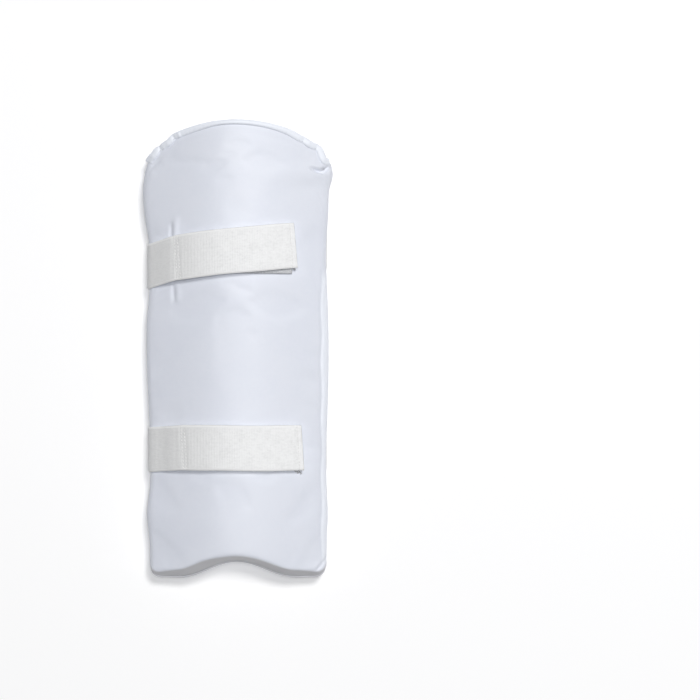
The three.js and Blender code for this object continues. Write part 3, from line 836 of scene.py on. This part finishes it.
def strapPath(strap):
    points, offsets = [], []
    rightY, leftY = strap["rightLip"] * guard["length"], strap["leftLip"] * guard["length"]
    seamX, seamY, seamZ = flankPoint(1, rightY, 0)
    for inward, lift in band["sewnEnd"]:
        points.append((seamX - inward, rightY, seamZ + lift))
        offsets.append(band["gap"] - band["sunkRight"])
    for t in np.linspace(0.08, 1, 14):
        points.append(flankPoint(1, rightY, t))
        offsets.append(band["gap"] - band["sunkRight"] * (1 - t) ** 1.5)
    right, left = flankPoint(1, rightY, 1), flankPoint(-1, leftY, 1)
    for t in np.linspace(0, 1, 30)[1:-1]:  # taut across the hollow
        points.append(tuple(np.array(right) * (1 - t) + np.array(left) * t))
        offsets.append(band["gap"])
    for t in np.linspace(1, 0.08, 14):
        fromLip = (strap["leftLip"] - strap["leftSeam"]) * (1 - t) ** 2.2
        middle = guard["length"] * (strap["leftLip"] - fromLip)
        points.append(flankPoint(-1, middle, t))
        offsets.append(band["gap"] - band["sunkLeft"] * (1 - t))
    stitchX = strap["stitchAcross"] * guard["halfWidth"]
    for u in band["shoulder"] + list(np.linspace(strap["stitchAcross"], strap["tipAcross"] + 0.05, 60)):
        point = frontPoint(strap, u)
        climb = float(smooth((point[0] - stitchX) / band["climb"] + 1))
        sunk = band["sunkLeft"] * (1 - float(smooth((u + 1) / 0.12)))
        points.append(point)
        offsets.append(band["gap"] + (overTapes - band["gap"]) * climb - sunk)
    path = bandPath(points, offsets)
    centres, places = path["centres"], path["places"]
    onFront = np.nonzero((centres[:, 2] > guard["seamHeight"] + 1))[0]
    path["front"] = places[onFront[0]]
    for key in ("stitch", "tip"):
        x = strap[key + "Across"] * halfUnder(1 if key == "tip" else -1, strap[key] * guard["length"])
        path[key] = float(np.interp(x, centres[onFront, 0], places[onFront]))
    return path


def bandMesh(name, path, start, end, halfBand, base, thickness, lean, wave=0.0, seams=()):
    s = np.arange(start, end, band["step"])
    s = np.append(s[: -1 if end - s[-1] < 0.3 * band["step"] else None], end)[:, None]
    t = np.linspace(-1, 1, band["columns"])
    width = (0.35 * t + 0.65 * np.sin(t * math.pi / 2)) * halfBand
    leanHere = lean * smooth((s - path.get("front", 0)) / band["leanOver"])
    along = s - leanHere * width
    across = width * (1 + wave / halfBand * np.sin(s / band["wavePitch"] + 2 * np.sign(width)))
    edge = smooth((np.abs(width) - halfBand + band["edgeRound"]) / band["edgeRound"])
    top = thickness * (1 - band["edgeThin"] * edge**2) + 0 * s
    low = thickness * band["edgeLift"] * edge**2 + 0 * s
    for seam in seams:
        top -= band["pinch"] * np.exp(-((s - seam) / band["seamWidth"]) ** 2) * (1 - 0.5 * edge)
    outer, inner = bandAt(path, along, across, base + top), bandAt(path, along, across, base + low)
    made = closedShell(name, outer, inner)
    grid = np.stack([width + 0 * s, along], -1).reshape(-1, 2)
    writeCloth(made.data.uv_layers["cloth"], made.data, np.concatenate([grid, grid]))
    return made


def finishPiece(piece, node, finish):
    piece.data.materials.append(finish)
    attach(piece, "root")
    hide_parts(node)


def sewnRows(path):  # where along the strap its three rows of stitches lie
    return path["stitch"], path["stitch"] + band["doubleRow"], path["tip"] - band["tipRow"]


strapPaths = {}
for name, strap in straps.items():
    path = strapPaths[name] = strapPath(strap)
    lean = strap["lean"]
    made = bandMesh(name + "Strap", path, 0, path["tip"], band["width"] / 2, 0, band["thickness"], lean,
                    band["edgeWave"], sewnRows(path))
    finishPiece(made, name + "_strap", elasticWeave(name + "Weave", path["stitch"]))

    start, end = path["stitch"] + band["tapeInset"], path["tip"] - band["tapeInset"]
    under = -band["gap"] - band["tape"]
    hooks = bandMesh(name + "HookTape", path, start, end, band["tapeWidth"] / 2, under, band["tape"], lean)
    finishPiece(hooks, name + "_hook_patch", hookTape)

    fromU = strap["stitchAcross"] + band["loopStart"] / guard["halfWidth"]
    toU = strap["tipAcross"] - band["loopEnd"] / guard["halfWidth"]
    tapeLine = strap["tape"] * guard["length"]
    points = [frontPoint(strap, u, tapeLine) for u in np.linspace(fromU, toU, 50)]
    tapePath = bandPath(points, [0.05] * len(points))
    loops = bandMesh(name + "LoopTape", tapePath, 0, tapePath["arc"][-1] - 0.2, band["tapeWidth"] / 2, 0,
                     band["tape"] + band["gap"], 0)
    finishPiece(loops, name + "_loop_patch", loopTape)
    print(name, "strap made,", round(path["tip"]), "mm long")


# stitches
def startTree(name, inputs, output):  # a Geometry Nodes tree and its named inputs as wires
    tree = bpy.data.node_groups.new(name, "GeometryNodeTree")
    for label, kind in inputs.items():
        tree.interface.new_socket(name=label, in_out="INPUT", socket_type="NodeSocket" + kind)
    tree.interface.new_socket(name=output, in_out="OUTPUT", socket_type="NodeSocketGeometry")
    graph = Graph(tree)
    given = graph.node("NodeGroupInput").socket.node.outputs
    return graph, [Wire(graph, given[i]) for i in range(len(inputs))]


def endTree(graph, geometry, thread):
    real = graph.node("GeometryNodeRealizeInstances", values={"Geometry": geometry})
    finished = graph.node("GeometryNodeSetMaterial", values={"Geometry": real, "Material": thread})
    graph.tree.links.new(finished.socket, graph.tree.nodes.new("NodeGroupOutput").inputs[0])
    return graph.tree


def stitchTree():  # a thread stitch at each step along a path
    graph, (path, spacing, length, width, uneven, number, thread) = startTree("stitchLine", {
        "Path": "Geometry", "Spacing": "Float", "Stitch Length": "Float", "Thread Width": "Float",
        "Unevenness": "Float", "Seed": "Int", "Thread": "Material"}, "Stitches")
    curve = graph.node("GeometryNodeMeshToCurve", values={"Mesh": path})
    points = graph.node("GeometryNodeCurveToPoints", {"mode": "LENGTH"}, {"Curve": curve, "Length": spacing})
    tangent = Wire(graph, points.socket.node.outputs["Tangent"])
    turn = graph.node("FunctionNodeAlignRotationToVector", {"axis": "X"}, {"Vector": tangent})
    size = graph.node("FunctionNodeRandomValue", {"data_type": "FLOAT"},
                      {2: 1 - uneven, 3: uneven + 1, "Seed": number}, 1)
    shape = graph.node("ShaderNodeCombineXYZ", values={0: length * 0.5, 1: width * 0.5, 2: width * 0.4})
    ball = graph.node("GeometryNodeMeshUVSphere", values={"Segments": 6, "Rings": 4, "Radius": 1.0})
    stitch = graph.node("GeometryNodeTransform", values={"Geometry": ball, "Scale": shape})
    placed = graph.node("GeometryNodeInstanceOnPoints", values={
        "Points": points, "Instance": stitch, "Rotation": turn, "Scale": size})
    return endTree(graph, placed, thread)


def threadTree():  # a round thread along each path
    graph, (path, width, thread) = startTree("looseThread", {
        "Path": "Geometry", "Thread Width": "Float", "Thread": "Material"}, "Threads")
    curve = graph.node("GeometryNodeMeshToCurve", values={"Mesh": path})
    profile = graph.node("GeometryNodeCurvePrimitiveCircle", values={"Resolution": 6, "Radius": width * 0.5})
    tube = graph.node("GeometryNodeCurveToMesh", values={"Curve": curve, "Profile Curve": profile,
                                                          "Fill Caps": True})
    return endTree(graph, tube, thread)


stitchLine = stitchTree()
looseThread = threadTree()


def sew(name, tree, paths, settings):  # each path is a list of points in millimetres
    points, edges = [], []
    for path in paths:
        first = len(points)
        points += [tuple(np.asarray(p) * mm) for p in path]
        edges += [(i, i + 1) for i in range(first, len(points) - 1)]
    mesh = bpy.data.meshes.new(name)
    mesh.from_pydata(points, edges, [])
    obj = bpy.data.objects.new(name, mesh)
    scene.collection.objects.link(obj)
    modifier = obj.modifiers.new("Stitches", "NODES")
    modifier.node_group = tree
    for item in tree.interface.items_tree:
        if item.item_type == "SOCKET" and item.in_out == "INPUT" and item.name in settings:
            modifier[item.identifier] = settings[item.name]
    madePlain(obj)
    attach(obj, "root")
    print(name, "sewn,", len(obj.data.polygons), "faces")


hemStitches = {
    "Spacing": 2.1 * mm, "Stitch Length": 1.3 * mm, "Thread Width": 0.42 * mm, "Unevenness": 0.12,
    "Seed": seed, "Thread": shadeThread,
}
strapStitches = {
    "Spacing": 1.75 * mm, "Stitch Length": 1.35 * mm, "Thread Width": 0.5 * mm, "Unevenness": 0.15,
    "Seed": seed + 1, "Thread": whiteThread,
}

sewnRange = np.abs(hemPlaces) < hem["sewnTo"]
sewnLegs = hemLegs(hemPlaces)
seamHeight = hem["wall"] * hem["seam"]
frontRow = hemPoint(hemPlaces, -hem["seamRow"] * sewnLegs[1], frontFace, seamHeight)[sewnRange]
backRow = hemPoint(hemPlaces, -hem["seamRow"] * sewnLegs[-1], backFace, -seamHeight)[sewnRange]
sew("hemStitches", stitchLine, [frontRow, backRow], hemStitches)


def acrossStrap(path, s, lean):  # a line of stitches square across a strap
    width = np.linspace(-1, 1, 20) * (band["width"] / 2 - band["rowInset"])
    return bandAt(path, s - lean * width, width, 0 * width + band["thickness"] - band["threadSunk"])


for name, path in strapPaths.items():
    rows = [acrossStrap(path, s, straps[name]["lean"]) for s in sewnRows(path)]
    sew(name + "StrapStitches", stitchLine, rows, strapStitches)

# loose thread ends under each tip, from the strap's lower corner: lengths to the left, down and up
threadEnds = {
    "upper": [[(2.5, 0.4, -0.6), (1.7, -0.5, -1.2), (0.6, -0.8, -1.4)]],
    "lower": [[(9.0, 0.6, -0.8), (7.6, -0.6, -1.4), (6.3, -0.2, -1.7), (5.2, -0.9, -1.8)],
              [(5.6, 0.6, -0.8), (4.2, -0.9, -1.5), (3.1, -0.4, -1.9), (3.5, -1.6, -2.1), (2.4, -1.3, -2.2)],
              [(3.2, 0.6, -0.8), (2.2, -0.7, -1.4), (1.2, -1.5, -2.0), (1.6, -2.2, -2.3)]],
}
threadSettings = {"Thread Width": 0.5 * mm, "Thread": greyThread}
for name, ends in threadEnds.items():
    path, strap = strapPaths[name], straps[name]
    corner = bandAt(path, np.array([path["tip"] + strap["lean"] * band["width"] / 2]),
                    np.array([-band["width"] / 2]), np.zeros(1))[0]
    lines = []
    for end in ends:
        knots = np.array([corner + (-left, down, up) for left, down, up in end])
        at = np.linspace(0, len(knots) - 1, 6 * len(knots))
        lines.append(np.stack([np.interp(at, np.arange(len(knots)), knots[:, i]) for i in range(3)], -1))
    sew(name + "ThreadEnds", looseThread, lines, threadSettings)


# camera, floor and light
view = {"place": (0.0626, 0.0, 1.1), "lens": 100.3, "sensor": 36}
camera = bpy.data.objects.new("camera", bpy.data.cameras.new("camera"))
scene.collection.objects.link(camera)
camera.location = view["place"]
camera.data.lens, camera.data.sensor_width = view["lens"], view["sensor"]
camera.data.clip_start = 0.01
scene.camera = camera

room = {
    "floor": (0.93, 0.93, 0.93), "glow": 0.14, "floorDrop": 0.0003,
    "world": (0.9, 0.93, 1.0), "worldStrength": 0.07,
}
floorMesh = bpy.data.meshes.new("floor")
floorCorners = [(x, y, -room["floorDrop"]) for x, y in ((-4, -4), (4, -4), (4, 4), (-4, 4))]
floorMesh.from_pydata(floorCorners, [], [(0, 1, 2, 3)])
floor = bpy.data.objects.new("floor", floorMesh)
scene.collection.objects.link(floor)
floorFinish = Finish("floorFinish", {
    "Base Color": (*room["floor"], 1), "Roughness": 0.9, "Specular IOR Level": 0.1,
    "Emission Color": (1, 1, 1, 1), "Emission Strength": room["glow"]})
floor.data.materials.append(floorFinish.material)

world = scene.world or bpy.data.worlds.new("world")
scene.world = world
world.use_nodes = True
background = next(n for n in world.node_tree.nodes if n.type == "BACKGROUND")
background.inputs[0].default_value = (*room["world"], 1)
background.inputs[1].default_value = room["worldStrength"]

lamps = {
    "key": {"place": (0.7, 1.0, 2.5), "size": 0.7, "power": 38, "colour": (1.0, 0.99, 0.98)},
    "overhead": {"place": (0.16, 0.1, 2.4), "size": 0.7, "power": 25, "colour": (0.98, 0.985, 1.0)},
}
for name, lamp in lamps.items():
    light = bpy.data.objects.new(name, bpy.data.lights.new(name, "AREA"))
    light.data.shape, light.data.size = "DISK", lamp["size"]
    light.data.energy, light.data.color = lamp["power"], lamp["colour"]
    light.location = lamp["place"]
    aim = np.array(lamp["place"]) / np.linalg.norm(lamp["place"])
    light.rotation_euler = (math.acos(aim[2]), 0, math.atan2(aim[1], aim[0]) + math.pi / 2)
    scene.collection.objects.link(light)
print("camera and light set")
